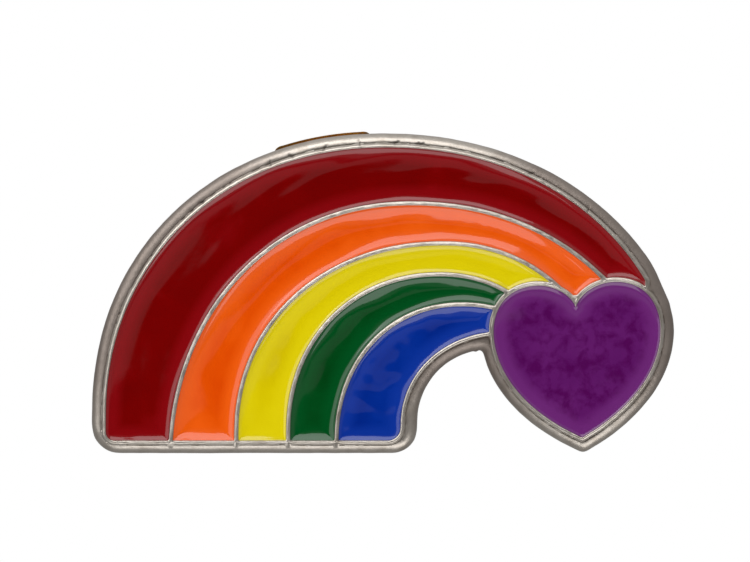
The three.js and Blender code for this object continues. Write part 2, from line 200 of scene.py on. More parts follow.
def smooth_outline(loop):
    """Points at an even spacing on a smooth curve through a loop, which keeps its true corners."""
    gap = np.linalg.norm(np.roll(loop, -1, axis=0) - loop, axis=1)
    loop = loop[gap > SHORTEST_SIDE]
    count = len(loop)
    step = np.roll(loop, -1, axis=0) - loop
    length = np.linalg.norm(step, axis=1)
    direction = step / length[:, None]
    leaving, arriving = [], []
    for i in range(count):
        before, after = direction[i - 1], direction[i]
        shorter, longer = sorted((length[i - 1], length[i]))
        if turn_between(before, after) > math.radians(CORNER_DEG):
            arriving.append(before)
            leaving.append(after)
            continue
        if longer > STRAIGHT_RATIO * shorter:  # a straight side that runs into a curve
            tangent = before if length[i - 1] > length[i] else after
        else:
            tangent = before * length[i] + after * length[i - 1]
            tangent = tangent / np.linalg.norm(tangent)
        arriving.append(tangent)
        leaving.append(tangent)
    points = []
    for i in range(count):
        j = (i + 1) % count
        pieces = max(1, round(length[i] / SPACING))
        for k in range(pieces):
            t = k / pieces
            start, end = loop[i], loop[j]
            out, into = leaving[i] * length[i], arriving[j] * length[i]
            points.append(  # on a Hermite curve
                (2 * t**3 - 3 * t**2 + 1) * start
                + (t**3 - 2 * t**2 + t) * out
                + (3 * t**2 - 2 * t**3) * end
                + (t**3 - t**2) * into
            )
    return np.array(points)


def outward_normals(loop):
    """Unit normals at the points of an anticlockwise loop."""
    before = loop - np.roll(loop, 1, axis=0)
    after = np.roll(loop, -1, axis=0) - loop
    before /= np.linalg.norm(before, axis=1)[:, None]
    after /= np.linalg.norm(after, axis=1)[:, None]
    along = before + after
    normal = np.stack([along[:, 1], -along[:, 0]], axis=1)
    return normal / np.maximum(np.linalg.norm(normal, axis=1)[:, None], 1e-9)


def eased(loop, radius):
    """A closed outline with its corners rounded off, by averaging along it."""
    step = np.linalg.norm(np.roll(loop, -1, axis=0) - loop, axis=1).mean()
    reach = math.ceil(2.5 * radius / step)
    shifts = range(-reach, reach + 1)
    weights = [math.exp(-0.5 * (k * step / radius) ** 2) for k in shifts]
    moved = sum(w * np.roll(loop, k, axis=0) for k, w in zip(shifts, weights))
    return moved / sum(weights)


class Outlines:
    """Several outlines, to measure points against."""

    def __init__(self, loops):
        self.points = np.concatenate(loops)
        self.normals = np.concatenate([outward_normals(p) for p in loops])
        self.before = np.concatenate([np.roll(p, 1, axis=0) for p in loops])
        self.after = np.concatenate([np.roll(p, -1, axis=0) for p in loops])
        self.tree = kdtree.KDTree(len(self.points))
        for i, (x, z) in enumerate(self.points):
            self.tree.insert((x, z, 0), i)
        self.tree.balance()

    def nearest(self, points):
        return [self.tree.find((x, z, 0))[1] for x, z in points]

    def distance(self, points):
        """Distance from each point to the nearest outline."""
        nearest = self.nearest(points)
        start = self.points[nearest]
        return np.minimum(
            distance_to_side(points, start, self.before[nearest]),
            distance_to_side(points, start, self.after[nearest]),
        )

    def away(self, points):
        """The nearest outline's outward normal at each point."""
        return self.normals[self.nearest(points)]


def distance_to_side(points, start, end):
    """Distance from each point to its own side, from start to end."""
    side = end - start
    share = np.sum((points - start) * side, axis=1) / np.sum(side * side, axis=1)
    foot = start + np.clip(share, 0, 1)[:, None] * side
    return np.linalg.norm(points - foot, axis=1)


def rings(loops, distances, outlines, keep):
    """Points beside the loops at each signed distance outwards, and the edges between neighbours.
    Points nearer to another outline are dropped."""
    points, edges = [], []
    for loop in loops:
        normal = outward_normals(loop)
        for distance in distances:
            moved = loop + normal * distance
            clear = np.abs(outlines.distance(moved) - abs(distance)) < RING_TOLERANCE
            good = clear & keep(moved)
            first = len(points)
            index = np.cumsum(good) - 1 + first
            points.extend(moved[good])
            for i in range(len(moved)):
                j = (i + 1) % len(moved)
                if good[i] and good[j]:
                    edges.append((int(index[i]), int(index[j])))
    return points, edges


def triangulate(outer, holes=(), points=(), edges=()):
    """A flat mesh of the region between an outer loop and its holes, through further points.
    Gives its (x, z) points, its triangles, and for each loop the indices of its points."""
    coordinates, faces, ranges = [], [], []
    for loop in (outer, *holes):
        ranges.append(range(len(coordinates), len(coordinates) + len(loop)))
        faces.append(list(ranges[-1]))
        coordinates.extend(loop)
    first = len(coordinates)
    coordinates.extend(points)
    sides = [(a + first, b + first) for a, b in edges]
    corners = [Vector(c) for c in coordinates]
    made = delaunay_2d_cdt(corners, sides, faces, TRIANGLES_INSIDE, MERGE_DISTANCE)
    vertices, _, triangles, sources, _, face_sources = made
    place = {source: i for i, group in enumerate(sources) for source in group}
    kept = [t for t, inside in zip(triangles, face_sources) if inside == [0]]
    return (
        np.array([tuple(v) for v in vertices]),
        kept,
        [[place[i] for i in span] for span in ranges],
    )


# ---- Mesh building ---------------------------------------------------------------------------


class Builder:
    """Collects the vertices and faces of one piece."""

    def __init__(self):
        self.vertices = []
        self.faces = []

    def add(self, flat, depth):
        """Adds (x, z) points at their depths and gives their indices."""
        first = len(self.vertices)
        depth = np.broadcast_to(depth, len(flat))
        self.vertices.extend((x, -d, z) for (x, z), d in zip(flat, depth))
        return list(range(first, len(self.vertices)))

    def add_faces(self, triangles, indices, flipped=False):
        for t in triangles:
            face = [indices[i] for i in t]
            self.faces.append(face[::-1] if flipped else face)

    def bridge(self, front, back):
        """Quads between a loop and the loop behind it, facing outwards."""
        count = len(front)
        for i in range(count):
            j = (i + 1) % count
            self.faces.append([front[i], back[i], back[j], front[j]])

    def piece(self, name):
        mesh = bpy.data.meshes.new(name)
        scaled = [tuple(c * M_PER_MM for c in v) for v in self.vertices]
        mesh.from_pydata(scaled, [], self.faces)
        return shown(name, mesh)


def shown(name, mesh):
    """Links a closed mesh as a smooth-shaded piece, with its faces turned outwards."""
    tidy = bmesh.new()
    tidy.from_mesh(mesh)
    loose = [v for v in tidy.verts if not v.link_faces]
    bmesh.ops.delete(tidy, geom=loose, context="VERTS")
    bmesh.ops.recalc_face_normals(tidy, faces=tidy.faces)
    tidy.to_mesh(mesh)
    tidy.free()
    mesh.shade_smooth()
    piece = bpy.data.objects.new(name, mesh)
    bpy.context.scene.collection.objects.link(piece)
    return piece


def with_values(piece, name, values):
    """Stores a number for each of the piece's first vertices, for its material to read."""
    layer = piece.data.attributes.new(name, "FLOAT", "POINT")
    whole = np.zeros(len(piece.data.vertices))
    whole[: len(values)] = values
    layer.data.foreach_set("value", whole)
    return piece


def wander(points, size, seed):
    """Smooth noise from -1 to 1 at (x, z) points, with features about size across."""
    return np.array(
        [noise.noise(Vector((x / size, z / size, seed * SEED_STEP))) for x, z in points]
    )


def layered(points, layers):
    """The sum of several layers of noise, each given by its height, size and seed."""
    return sum(height * wander(points, size, seed) for height, size, seed in layers)


# ---- The cast metal body ---------------------------------------------------------------------


def quarter_round(t):
    """Rises from 0 to 1 as t goes from 0 to 1, upright at first and level at the end."""
    t = np.clip(t, 0, 1)
    return np.sqrt(1 - (1 - t) ** 2)


def border_shade_and_dullness(points):
    """How dull the border is at points, and how much painted shade it carries, up to 1."""
    x, z = points[:, 0], points[:, 1]
    over_crown = np.clip((np.abs(x - CROWN_MIDDLE_X) - CROWN_REACH) / SHADING_AND_DULLING, CROWN_SHADE_AND_DULLNESS, 1)
    above_foot = np.clip((z - FOOT_TOP_Z) / SHADING_AND_DULLING, FOOT_SHADE_AND_DULLNESS, 1)
    return np.where(z > CROWN_FLOOR_Z, over_crown, above_foot)


def metal_depth(points, to_cell, away, to_edge):
    """Depth of the metal's front: a thin raised rim along each cell, then a narrow groove, then a
    lower border that falls away in a rounded shoulder. Gives the depth and how dull the metal is
    there, which is also how much painted shade it carries, from the distances to the nearest cell
    and to the silhouette."""
    to_cell = to_cell + layered(points, LINE_NOISE) * (to_cell > LINE_NOISE_FROM)
    width = RIM_WIDTH + layered(points, WIDTH_NOISE)
    inner = quarter_round(to_cell / RIM_INNER_ROUND)
    outer = quarter_round((width - to_cell) / RIM_OUTER_ROUND)
    rim = RIM_DEPTH + layered(points, TOP_NOISE)
    rim -= RIM_INNER_ROUND * (1 - inner) + RIM_OUTER_ROUND * (1 - outer)
    outwards = points - ARCH_CENTRE
    outwards /= np.linalg.norm(outwards, axis=1)[:, None]
    rim -= RIM_LEAN * np.sum(away * outwards, axis=1) * (to_cell - width / 2)
    rim = np.where(to_cell > width, -1, rim)

    crown = BORDER_DEPTH + layered(points, BORDER_NOISE)
    slope = SHOULDER_WIDTH * (1 + layered(points, SHOULDER_NOISE))
    fall = (crown - SHOULDER_FOOT_DEPTH) * (1 - quarter_round(to_edge / slope))
    groove = np.clip(1 - (to_cell - width) / GROOVE_WIDTH, 0, 1)
    border = crown - fall - GROOVE_FALL * groove**2
    return np.maximum(rim, border), np.where(rim > border, 0.0, border_shade_and_dullness(points))


def nick_strength(points, nicks):
    """1 in the middle of a nick and 0 beyond it: the small cuts and seams across rim and border."""
    strength = np.zeros(len(points))
    for x, z, heading, width, reach in nicks:
        along = np.array([math.cos(heading), math.sin(heading)])
        across = np.array([-along[1], along[0]])
        offset = points - np.array([x, z])
        side = np.clip(1 - np.abs(offset @ across) / width, 0, 1)
        # Full strength over the middle two thirds of the reach.
        ends = np.clip(3 * (1 - np.abs(offset @ along) / reach), 0, 1)
        strength = np.maximum(strength, side * ends)
    return strength


def cast_edge(loop):
    """The silhouette with a casting's slight unevenness and its small burrs."""
    push = layered(loop, EDGE_NOISE)
    for x, z, height, width in BURRS:
        away = np.linalg.norm(loop - np.array([x, z]), axis=1)
        push = push + height * np.exp(-((away / width) ** 2))
    return loop + outward_normals(loop) * push[:, None]


def build_body(silhouette, cells):
    """The casting: its relief, a cell for each fill, the side wall and the back."""
    edge = Outlines([silhouette])
    rims = Outlines(cells)
    points, edges = rings(cells, CELL_RINGS, rims, lambda p: edge.distance(p) > EDGE_CLEARANCE)
    more_points, more_edges = rings(
        [silhouette], EDGE_RINGS, edge, lambda p: rims.distance(p) > CELL_CLEARANCE
    )
    shift = len(points)
    points += more_points
    edges += [(a + shift, b + shift) for a, b in more_edges]
    flat, triangles, loops = triangulate(silhouette, cells, points, edges)

    to_cell = rims.distance(flat)
    depth, border = metal_depth(flat, to_cell, rims.away(flat), edge.distance(flat))
    nicks = nick_strength(flat, nicks_on(cells[0]))
    depth = depth - NICK_DEPTH * nicks
    depth[loops[0]] = SHOULDER_FOOT_DEPTH

    body = Builder()
    front = body.add(flat, depth)
    body.add_faces(triangles, front)
    for cell, loop in zip(cells, loops[1:]):
        lip = [front[i] for i in loop]
        foot = body.add(cell, CELL_FLOOR_DEPTH)
        body.bridge(foot, lip)
        _, floor_triangles, floor_loops = triangulate(cell)
        order = {vertex: foot[k] for k, vertex in enumerate(floor_loops[0])}
        body.add_faces(floor_triangles, order)

    normal = outward_normals(silhouette)
    loop = [front[i] for i in loops[0]]
    for inset, level in WALL:
        following = body.add(silhouette - normal * inset, level)
        body.bridge(loop, following)
        loop = following
    back_edge = silhouette - normal * BACK_INSET
    flat, triangles, loops = triangulate(back_edge, (), grid_inside(back_edge, *BACK_GRID))
    hollow = BACK_HOLLOW * (1 - wander(flat, BACK_NOISE_SIZE, BACK_NOISE_SEED))
    back = body.add(flat, hollow * np.clip(edge.distance(flat) - BACK_INSET, 0, 1))
    body.bridge(loop, [back[i] for i in loops[0]])
    body.add_faces(triangles, back, flipped=True)
    # The nick strength also lays painted shade into the nickel's colour.
    piece = with_values(body.piece("cast_body"), "nick", nicks)
    # The border's values also paint shade on the border, except over the crown and along the foot.
    return with_values(piece, "border", border)


def grid_inside(loop, pitch, clear):
    """Points of a triangular grid inside a loop, at least a clear distance from it."""
    outline = Outlines([loop])
    low, high = loop.min(axis=0), loop.max(axis=0)
    rows = np.arange(low[1], high[1], pitch * math.sqrt(3) / 2)
    points = np.array(
        [
            (x + (pitch / 2 if row % 2 else 0), z)
            for row, z in enumerate(rows)
            for x in np.arange(low[0], high[0], pitch)
        ]
    )
    points = points[inside(points, loop)]
    return list(points[outline.distance(points) > clear])


def inside(points, loop):
    """Whether each point lies inside a loop, by how often a line from it crosses the loop."""
    x, z = points[:, 0], points[:, 1]
    result = np.zeros(len(points), dtype=bool)
    for (x0, z0), (x1, z1) in zip(loop, np.roll(loop, -1, axis=0)):
        crosses = (z0 > z) != (z1 > z)
        if crosses.any():
            at = x0 + (z - z0) * (x1 - x0) / (z1 - z0)
            result ^= crosses & (x < at)
    return result


def nicks_on(crown):
    """Nicks round the red cell's outer edge, as x, z, heading, width and reach."""
    centre = (crown.min(axis=0) + crown.max(axis=0)) / 2
    nicks = []
    for bearing, lean, width, reach in NICKS:
        ray = np.array([math.cos(math.radians(bearing)), math.sin(math.radians(bearing))])
        offset = crown - centre
        facing = offset @ ray / np.linalg.norm(offset, axis=1)
        nearest = crown[np.argsort(-facing)[:6]]  # some on the band's inner edge, some on its outer
        point = nearest[np.argmax((nearest - centre) @ ray)] + NICK_SHIFT * ray
        nicks.append((point[0], point[1], math.radians(bearing + lean), width, reach))
    return nicks


# ---- The enamel ------------------------------------------------------------------------------


def waves(points, seed, heart):
    """Slow waves in the enamel: along the arch they are long streaks, in the heart round swells."""
    if heart:
        return layered(points, [(height, size, seed + n) for size, height, n in HEART_WAVES])
    offset = points - ARCH_CENTRE
    bearing = np.arctan2(offset[:, 1], offset[:, 0])
    radius = np.linalg.norm(offset, axis=1)
    return sum(
        height * wander(np.stack([bearing * rate, radius / width], axis=1), 1, seed + n)
        for rate, width, height, n in ARCH_WAVES
    )


def enamel_depth(points, within, seed, dip, heart):
    """Depth of a fill's front at points, from their distance within its edge. It climbs the metal
    at the edge, falls towards the middle and lies in soft waves. The dip is how steeply it falls
    beyond the climb."""
    middle = within.max()
    calm = 1 - np.exp(-within / CALM_REACH)
    if heart:
        by_foot = 0
        dish_reach = HEART_DISH_REACH
    else:
        foot_z = points[:, 1].min() + ENAMEL_TUCK
        by_foot = np.exp(-(points[:, 1] - foot_z) / FOOT_REACH)
        dish_reach = middle
        calm *= min(middle, WIDE_MARGIN) ** 2
    fall = CLIMB * (1 - np.exp(-within / (CLIMB_REACH + CLIMB_REACH_GAIN * by_foot)))
    dish = dip * dish_reach * (1 - np.clip(1 - within / dish_reach, 0, 1) ** 2)
    return ENAMEL_EDGE_DEPTH - fall - dish + calm * waves(points, seed, heart)


def build_enamel(name, cell, seed, dip, heart):
    """One colour's fill, tucked a little under the metal round its cell."""
    outline = Outlines([cell])
    tuck = cell + outward_normals(cell) * ENAMEL_TUCK
    points, edges = rings([cell], FILL_RINGS, outline, lambda p: np.full(len(p), True))
    points = points + grid_inside(cell, *FILL_GRID)
    flat, triangles, loops = triangulate(tuck, (), points, edges)
    within = outline.distance(flat)
    within[loops[0]] = 0
    fill = Builder()
    front = fill.add(flat, enamel_depth(flat, within, seed, dip, heart))
    fill.add_faces(triangles, front)
    back = fill.add(tuck, CELL_FLOOR_DEPTH + ENAMEL_CLEARANCE)
    fill.bridge([front[i] for i in loops[0]], back)
    _, base, base_loops = triangulate(tuck)
    order = {vertex: back[k] for k, vertex in enumerate(base_loops[0])}
    fill.add_faces(base, order, flipped=True)
    return with_values(fill.piece(name), "margin", np.clip(within, 0, MARGIN_LIMIT))


# ---- Turned and bent pieces ------------------------------------------------------------------


def rounded(profile, radius, steps=4):
    """An open profile of (radius, y) with its corners rounded."""
    points = [np.array(p, dtype=float) for p in profile]
    result = [points[0]]
    for before, corner, after in zip(points, points[1:], points[2:]):
        back, ahead = before - corner, after - corner
        reach = min(radius, np.linalg.norm(back) * 0.45, np.linalg.norm(ahead) * 0.45)
        start = corner + back / np.linalg.norm(back) * reach
        end = corner + ahead / np.linalg.norm(ahead) * reach
        for k in range(steps + 1):
            t = k / steps
            result.append((1 - t) ** 2 * start + 2 * t * (1 - t) * corner + t**2 * end)
    result.append(points[-1])
    return result


def turned(name, profile, sides, uneven=None):
    """A profile of (radius, y) turned round the post's axis. A profile that doesn't start and end
    on the axis is closed into a ring."""
    vertices, faces = [], []
    count = len(profile)
    for s in range(sides):
        angle = 2 * math.pi * s / sides
        for r, y in profile:
            if uneven:
                r, y = uneven(r, y, angle)
            vertices.append((r * math.cos(angle), y, r * math.sin(angle)))
    closed = profile[0][0] > 0
    for s in range(sides):
        for i in range(count if closed else count - 1):
            a, b = s * count + i, s * count + (i + 1) % count
            t = (s + 1) % sides
            c, d = t * count + (i + 1) % count, t * count + i
            faces.append([a, b, c, d])
    mesh = bpy.data.meshes.new(name)
    mesh.from_pydata([tuple(c * M_PER_MM for c in v) for v in vertices], [], faces)
    welded = bmesh.new()
    welded.from_mesh(mesh)
    bmesh.ops.remove_doubles(welded, verts=welded.verts, dist=1e-6)
    welded.to_mesh(mesh)
    welded.free()
    return shown(name, mesh)


def box_mm(node):
    """The two corners of a CAD node's box."""
    low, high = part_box(node)
    return low / M_PER_MM, high / M_PER_MM


def build_post():
    """The post: a flange, a shaft with a groove near its end, and a point."""
    low, high = box_mm("post")
    flange = (high.x - low.x) / 2
    shaft = 0.575
    waist = 0.46
    top = low.y + 0.3
    groove = 5.4
    profile = [
        (0, low.y),
        (flange, low.y),
        (flange, top - 0.04),
        (flange - 0.1, top),
        (shaft + 0.14, top),
        (shaft, top + 0.14),
        (shaft, groove),
        (waist, groove + 0.12),
        (waist, groove + 0.38),
        (shaft, groove + 0.5),
        (shaft, high.y - 1.1),
        (0.36, high.y - 0.6),
        (0.12, high.y - 0.09),
        (0.05, high.y - 0.02),
        (0, high.y),
    ]
    return turned("post_pin", rounded(profile, radius=0.06), sides=72)


def build_solder():
    """The solder round the post's flange."""
    low, high = box_mm("solder_fillet")
    outer = (high.x - low.x) / 2
    inner = 1.28
    rise = high.y - low.y
    profile = [
        (inner, 0.005),
        (outer, 0.005),
        (outer - 0.03, 0.05),
        (outer - 0.22, low.y + 0.3 * rise),
        (1.62, low.y + 0.55 * rise),
        (1.42, low.y + 0.85 * rise),
        (inner, high.y),
    ]

    def lumps(r, y, angle):
        """Draws the bead in and lets it swell by turns, more so towards its outer edge."""
        way = Vector((math.cos(angle) * 1.3, math.sin(angle) * 1.3, y * 2.5))
        swell = noise.noise(way) + 0.5 * noise.noise(way * 2.7)
        share = (r - inner) / (outer - inner)
        return r - 0.1 * share * abs(swell), y * (1 + 0.12 * swell * share)

    return turned("solder_bead", rounded(profile, radius=0.12, steps=5), sides=96, uneven=lumps)


def build_cup():
    """The cup: a hole for the post, two pressed rings in the front, and a lip rolled inwards."""
    low, high = box_mm("clutch_cup")
    radius = (high.x - low.x + high.z - low.z) / 4
    front = low.y
    sheet = 0.3
    lip = high.y - sheet
    hole = 0.74
    outside = [
        (hole, front + sheet),
        (hole, front + 0.02),
        (1.05, front),
        (1.5, front),
        (1.62, front + 0.06),
        (1.78, front + 0.06),
        (1.9, front),
        (3.9, front),
        (4.02, front + 0.07),
        (4.2, front + 0.07),
        (4.32, front),
        (radius - 0.75, front),
        (radius - 0.22, front + 0.16),
        (radius - 0.03, front + 0.55),
        (radius, front + 0.85),
        (radius - 0.05, lip),
        (radius - 0.2, lip + 0.22),
        (radius - 0.45, high.y),
        (radius - 0.72, high.y - 0.02),
        (radius - 0.98, high.y - 0.09),
    ]
    inside_wall = [
        (radius - 1.0, lip + 0.04),
        (radius - 0.6, lip + 0.02),
        (radius - sheet - 0.05, lip - 0.14),
        (radius - sheet, front + 0.8),
        (radius - sheet - 0.5, front + sheet),
        (0.9, front + sheet),
    ]
    return turned("clutch_cup_shell", rounded(outside + inside_wall, radius=0.09), sides=160)


WELD_M = 2e-6
FLAT_DEG = 0.6  # faces that meet at less than this are one flat
SHARP_DEG = 35  # edges sharper than this are broken


def softened(node, name, bevel):
    """A copy of a CAD node's mesh with its flats joined up and its edges broken."""
    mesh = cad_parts[node].data.copy()
    mesh.name = name
    mesh.materials.clear()
    shape = bmesh.new()
    shape.from_mesh(mesh)
    bmesh.ops.remove_doubles(shape, verts=shape.verts, dist=WELD_M)
    bmesh.ops.dissolve_limit(
        shape, angle_limit=math.radians(FLAT_DEG), verts=shape.verts, edges=shape.edges
    )
    shape.to_mesh(mesh)
    shape.free()
    piece = shown(name, mesh)
    edge = piece.modifiers.new("broken edges", "BEVEL")
    edge.width = bevel * M_PER_MM
    edge.segments = 3
    edge.limit_method = "ANGLE"
    edge.angle_limit = math.radians(SHARP_DEG)
    edge.harden_normals = True
    return piece


# ---- Materials -------------------------------------------------------------------------------


def srgb(r, g, b):
    """The colour for a shader, from 0 to 255 values as a screen shows them."""

    def linear(c):
        c /= 255
        return c / 12.92 if c <= 0.04045 else ((c + 0.055) / 1.055) ** 2.4

    return (linear(r), linear(g), linear(b), 1)


class Finish:
    """A material with shortcuts for the nodes the finishes share. Positions along a ramp go from
    0 to 1, and its stops are pairs of position and value."""

    def __init__(self, name, metallic):
        self.material = bpy.data.materials.new(name)
        self.material.use_nodes = True
        self.nodes = self.material.node_tree.nodes
        self.links = self.material.node_tree.links
        self.shader = self.nodes["Principled BSDF"]
        self.shader.inputs["Metallic"].default_value = metallic
        self.shader.inputs["IOR"].default_value = 1.5
        self.place = self.nodes.new("ShaderNodeTexCoord").outputs["Object"]

    def node(self, kind, **inputs):
        made = self.nodes.new(kind)
        for name, value in inputs.items():
            self.feed(made.inputs[name.replace("_", " ")], value)
        return made

    def feed(self, socket, value):
        if isinstance(value, bpy.types.NodeSocket):
            self.links.new(value, socket)
        else:
            socket.default_value = value

    def stretched(self, x, y, z):
        """Object coordinates in millimetres, scaled along each axis."""
        mapping = self.node("ShaderNodeMapping", Vector=self.place)
        mapping.inputs["Scale"].default_value = (x / M_PER_MM, y / M_PER_MM, z / M_PER_MM)
        return mapping.outputs["Vector"]

    def noise(self, per_mm, detail=3.0, roughness=0.55, distortion=0.0, way=(1, 1, 1)):
        """Noise with about per_mm features to the millimetre, squeezed along each axis by way."""
        made = self.node(
            "ShaderNodeTexNoise",
            Vector=self.stretched(*way),
            Scale=per_mm,
            Detail=detail,
            Roughness=roughness,
            Distortion=distortion,
        )
        return made.outputs["Fac"]

    def ramp(self, factor, *stops):
        made = self.node("ShaderNodeValToRGB", Fac=factor)
        elements = made.color_ramp.elements
        while len(elements) < len(stops):
            elements.new(0.5)
        for element, (position, colour) in zip(elements, stops):
            element.position = position
            element.color = colour if len(colour) == 4 else (*colour, 1)
        return made.outputs["Color"]

    def grey(self, factor, *stops):
        return self.ramp(factor, *((p, (v, v, v)) for p, v in stops))

    def attribute(self, name):
        made = self.nodes.new("ShaderNodeAttribute")
        made.attribute_name = name
        return made.outputs["Fac"]

    def mixed(self, factor, a, b):
        made = self.nodes.new("ShaderNodeMix")
        made.data_type = "RGBA"
        self.feed(made.inputs[0], factor)
        self.feed(made.inputs[6], a)
        self.feed(made.inputs[7], b)
        return made.outputs[2]

    def maths(self, operation, a, b):
        made = self.nodes.new("ShaderNodeMath")
        made.operation = operation
        self.feed(made.inputs[0], a)
        self.feed(made.inputs[1], b)
        return made.outputs[0]

    def times(self, a, b):
        return self.maths("MULTIPLY", a, b)

    def plus(self, a, b):
        return self.maths("ADD", a, b)

    def bump(self, height, distance, strength, under=None):
        """Relief from a height. The distance is in millimetres."""
        made = self.node(
            "ShaderNodeBump", Height=height, Distance=distance * M_PER_MM, Strength=strength
        )
        if under is not None:
            self.links.new(under, made.inputs["Normal"])
        return made.outputs["Normal"]

    def finish(self, colour, roughness, normal):
        self.feed(self.shader.inputs["Base Color"], colour)
        self.feed(self.shader.inputs["Roughness"], roughness)
        self.links.new(normal, self.shader.inputs["Normal"])
        return self.material


def nickel():
    """Bright plating on a casting, duller on the border, with painted shade over most of the border
    and in the nicks.
    """
    f = Finish("nickel_cast", metallic=1.0)
    cloud = f.noise(0.7, detail=5, roughness=0.6)
    fine = f.noise(9, detail=4, roughness=0.65)
    scratches = f.noise(5, detail=2, roughness=0.5, distortion=0.3, way=(1, 1, 9))
    grain = f.noise(3.4, detail=3, roughness=0.6)
    nick = f.attribute("nick")
    border = f.attribute("border")
    plating = (0.3, srgb(166, 157, 146)), (0.5, srgb(194, 187, 178)), (0.72, srgb(180, 172, 161))
    haze = srgb(136, 127, 115)
    # Painted shade for the nicks: a dark brown that stands in for the shade in the cuts.
    nick_shade = srgb(58, 50, 44)
    # Painted shade: a darker mauve grey laid over the border, except over the crown and the foot.
    painted_border_shade = srgb(134, 122, 115)
    colour = f.ramp(cloud, *plating)
    dull = f.grey(fine, (0.35, 0.0), (0.75, 1.0))
    colour = f.mixed(f.times(dull, 0.3), colour, haze)
    # Painted shade in the nicks, placed by the same strength that cuts them into the metal.
    colour = f.mixed(f.times(nick, 0.7), colour, nick_shade)
    # Painted shade on the border; the same values also make it rougher and grainier below.
    colour = f.mixed(f.times(border, 0.8), colour, painted_border_shade)
    roughness = f.grey(cloud, (0.3, 0.26), (0.7, 0.34))
    roughness = f.plus(roughness, f.times(fine, 0.1))
    roughness = f.plus(roughness, f.times(border, 0.16))
    normal = f.bump(fine, distance=0.012, strength=0.6)
    normal = f.bump(scratches, distance=0.006, strength=0.35, under=normal)
    normal = f.bump(f.times(grain, border), distance=0.035, strength=0.7, under=normal)
    return f.finish(colour, roughness, normal)


def enamel(name, deep, base, light, mottle=None):
    """A glossy pigment that clouds between three tints. It is palest where it climbs the metal,
    where it is thin and where a painted highlight lightens it.
    The mottle is a darker tint in blotches, away from the edge."""
    f = Finish(name, metallic=0.0)
    margin = f.attribute("margin")
    cloud = f.noise(0.35, detail=3, roughness=0.5, distortion=0.3)
    colour = f.ramp(cloud, (0.3, deep), (0.55, base), (0.8, light))
    if mottle:
        blotches = f.noise(1.15, detail=5, roughness=0.6, distortion=0.3)
        middle = f.grey(margin, (0.3, 0.0), (0.75, 0.78))
        strength = f.grey(blotches, (0.44, 0.0), (0.62, 1.0))
        colour = f.mixed(f.times(strength, middle), colour, mottle)
    # Painted highlight along the edges, where the enamel is also thin: the colour turns towards the
    # pale tint.
    thin_and_highlight = f.grey(margin, (0.0, 1.0), (0.5, 0.75), (1.0, 0.0))
    colour = f.mixed(thin_and_highlight, colour, light)
    specks = f.noise(3.2, detail=2, roughness=0.5)
    roughness = f.grey(specks, (0.35, 0.045), (0.7, 0.085))
    ripple = f.noise(4, detail=2, roughness=0.5)
    normal = f.bump(ripple, distance=0.0015, strength=0.4)
    return f.finish(colour, roughness, normal)


def brass():
    """Stamped yellow brass, with the lines of the rolled sheet and some brown stain."""
    f = Finish("brass_stamped", metallic=1.0)
    cloud = f.noise(0.5, detail=5, roughness=0.6, distortion=0.5)
    blotches = f.noise(1.9, detail=5, roughness=0.7)
    lines = f.noise(6, detail=3, roughness=0.6, way=(1, 7, 1))
    dents = f.noise(1.6, detail=3, roughness=0.5)
    sheet = (0.28, srgb(132, 100, 50)), (0.5, srgb(188, 150, 82)), (0.75, srgb(208, 172, 102))
    brown = srgb(120, 78, 34)
    colour = f.ramp(cloud, *sheet)
    stain = f.grey(blotches, (0.56, 0.0), (0.72, 1.0))
    colour = f.mixed(f.times(stain, 0.45), colour, brown)
    roughness = f.grey(cloud, (0.3, 0.24), (0.7, 0.16))
    roughness = f.plus(roughness, f.times(stain, 0.2))
    normal = f.bump(lines, distance=0.008, strength=0.35)
    normal = f.bump(dents, distance=0.012, strength=0.3, under=normal)
    return f.finish(colour, roughness, normal)


def steel():
    """Plated steel with fine marks along the post and round it."""
    f = Finish("post_steel_drawn", metallic=1.0)
    cloud = f.noise(0.8, detail=4)
    drawn = f.noise(5, detail=3, roughness=0.6, way=(1, 0.12, 1))
    turned_marks = f.noise(14, detail=2, roughness=0.5, way=(0.2, 1, 0.2))
    plating = (0.3, srgb(168, 162, 152)), (0.6, srgb(205, 200, 192)), (0.8, srgb(188, 181, 170))
    colour = f.ramp(cloud, *plating)
    roughness = f.grey(drawn, (0.3, 0.2), (0.7, 0.34))
    normal = f.bump(drawn, distance=0.008, strength=0.4)
    normal = f.bump(turned_marks, distance=0.004, strength=0.3, under=normal)
    return f.finish(colour, roughness, normal)


def solder():
    """Dull tin with a little brown flux left on it."""
    f = Finish("solder_dull", metallic=1.0)
    cloud = f.noise(1.2, detail=5, roughness=0.65)
    spots = f.noise(2.4, detail=4, roughness=0.7)
    pits = f.noise(9, detail=3, roughness=0.6)
    tin = (0.3, srgb(120, 117, 112)), (0.6, srgb(172, 170, 166)), (0.8, srgb(150, 146, 140))
    brown = srgb(92, 76, 50)
    colour = f.ramp(cloud, *tin)
    flux = f.grey(spots, (0.58, 0.0), (0.7, 1.0))
    colour = f.mixed(f.times(flux, 0.5), colour, brown)
    roughness = f.grey(cloud, (0.3, 0.34), (0.7, 0.52))
    normal = f.bump(cloud, distance=0.03, strength=0.6)
    normal = f.bump(pits, distance=0.008, strength=0.5, under=normal)
    return f.finish(colour, roughness, normal)


def wear(piece, material, body, slot, *nodes):
    """Gives a piece its material and says what it is to the frame."""
    piece.data.materials.clear()
    piece.data.materials.append(material)
    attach(piece, body)
    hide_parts(*nodes)


# ---- The object ------------------------------------------------------------------------------

